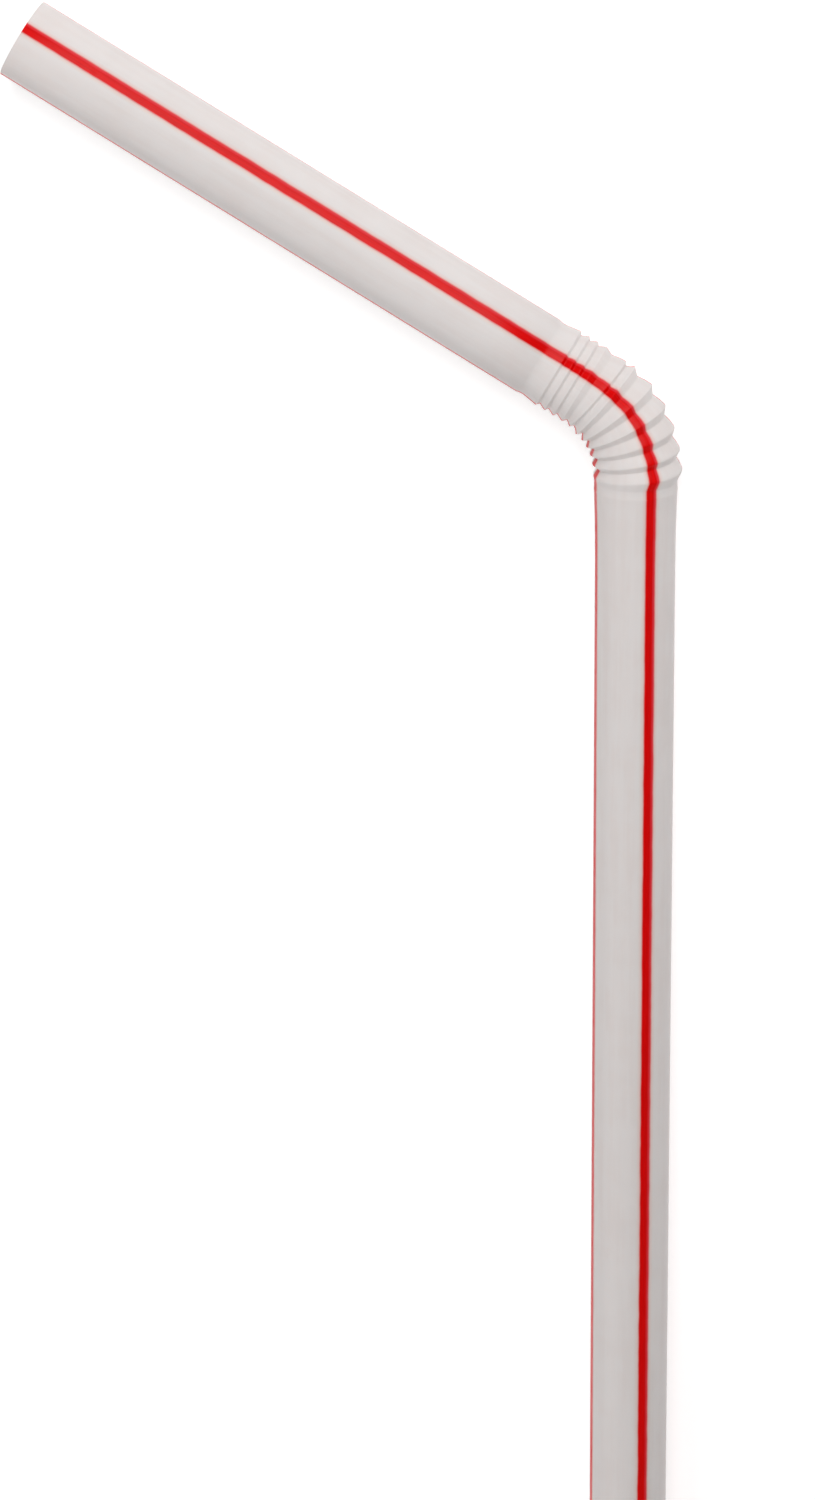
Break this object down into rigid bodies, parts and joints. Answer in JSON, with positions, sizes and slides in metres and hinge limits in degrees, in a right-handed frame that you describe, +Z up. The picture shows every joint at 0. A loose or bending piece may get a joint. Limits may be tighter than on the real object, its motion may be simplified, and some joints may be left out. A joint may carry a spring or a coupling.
{
  "type": "drinking straw",
  "caption": "Thin round drinking straw with a short mouth arm, a bellows that holds a sixty-degree bend, and a long leg.",
  "frame": {"origin": "centre of the footprint box, on the surface the straw lies on", "axes": "+Z up, square to the bend; +X along the long leg towards its free end; the mouth arm slants towards -X and -Y"},
  "size_m": [0.1768, 0.051, 0.0067],
  "materials": {
    "straw_plastic": "thin milky polypropylene with a soft gloss and four lengthwise red stripes in its skin"
  },
  "bodies": {
    "root": {"straw": "straw_plastic"}
  },
  "joints": []
}
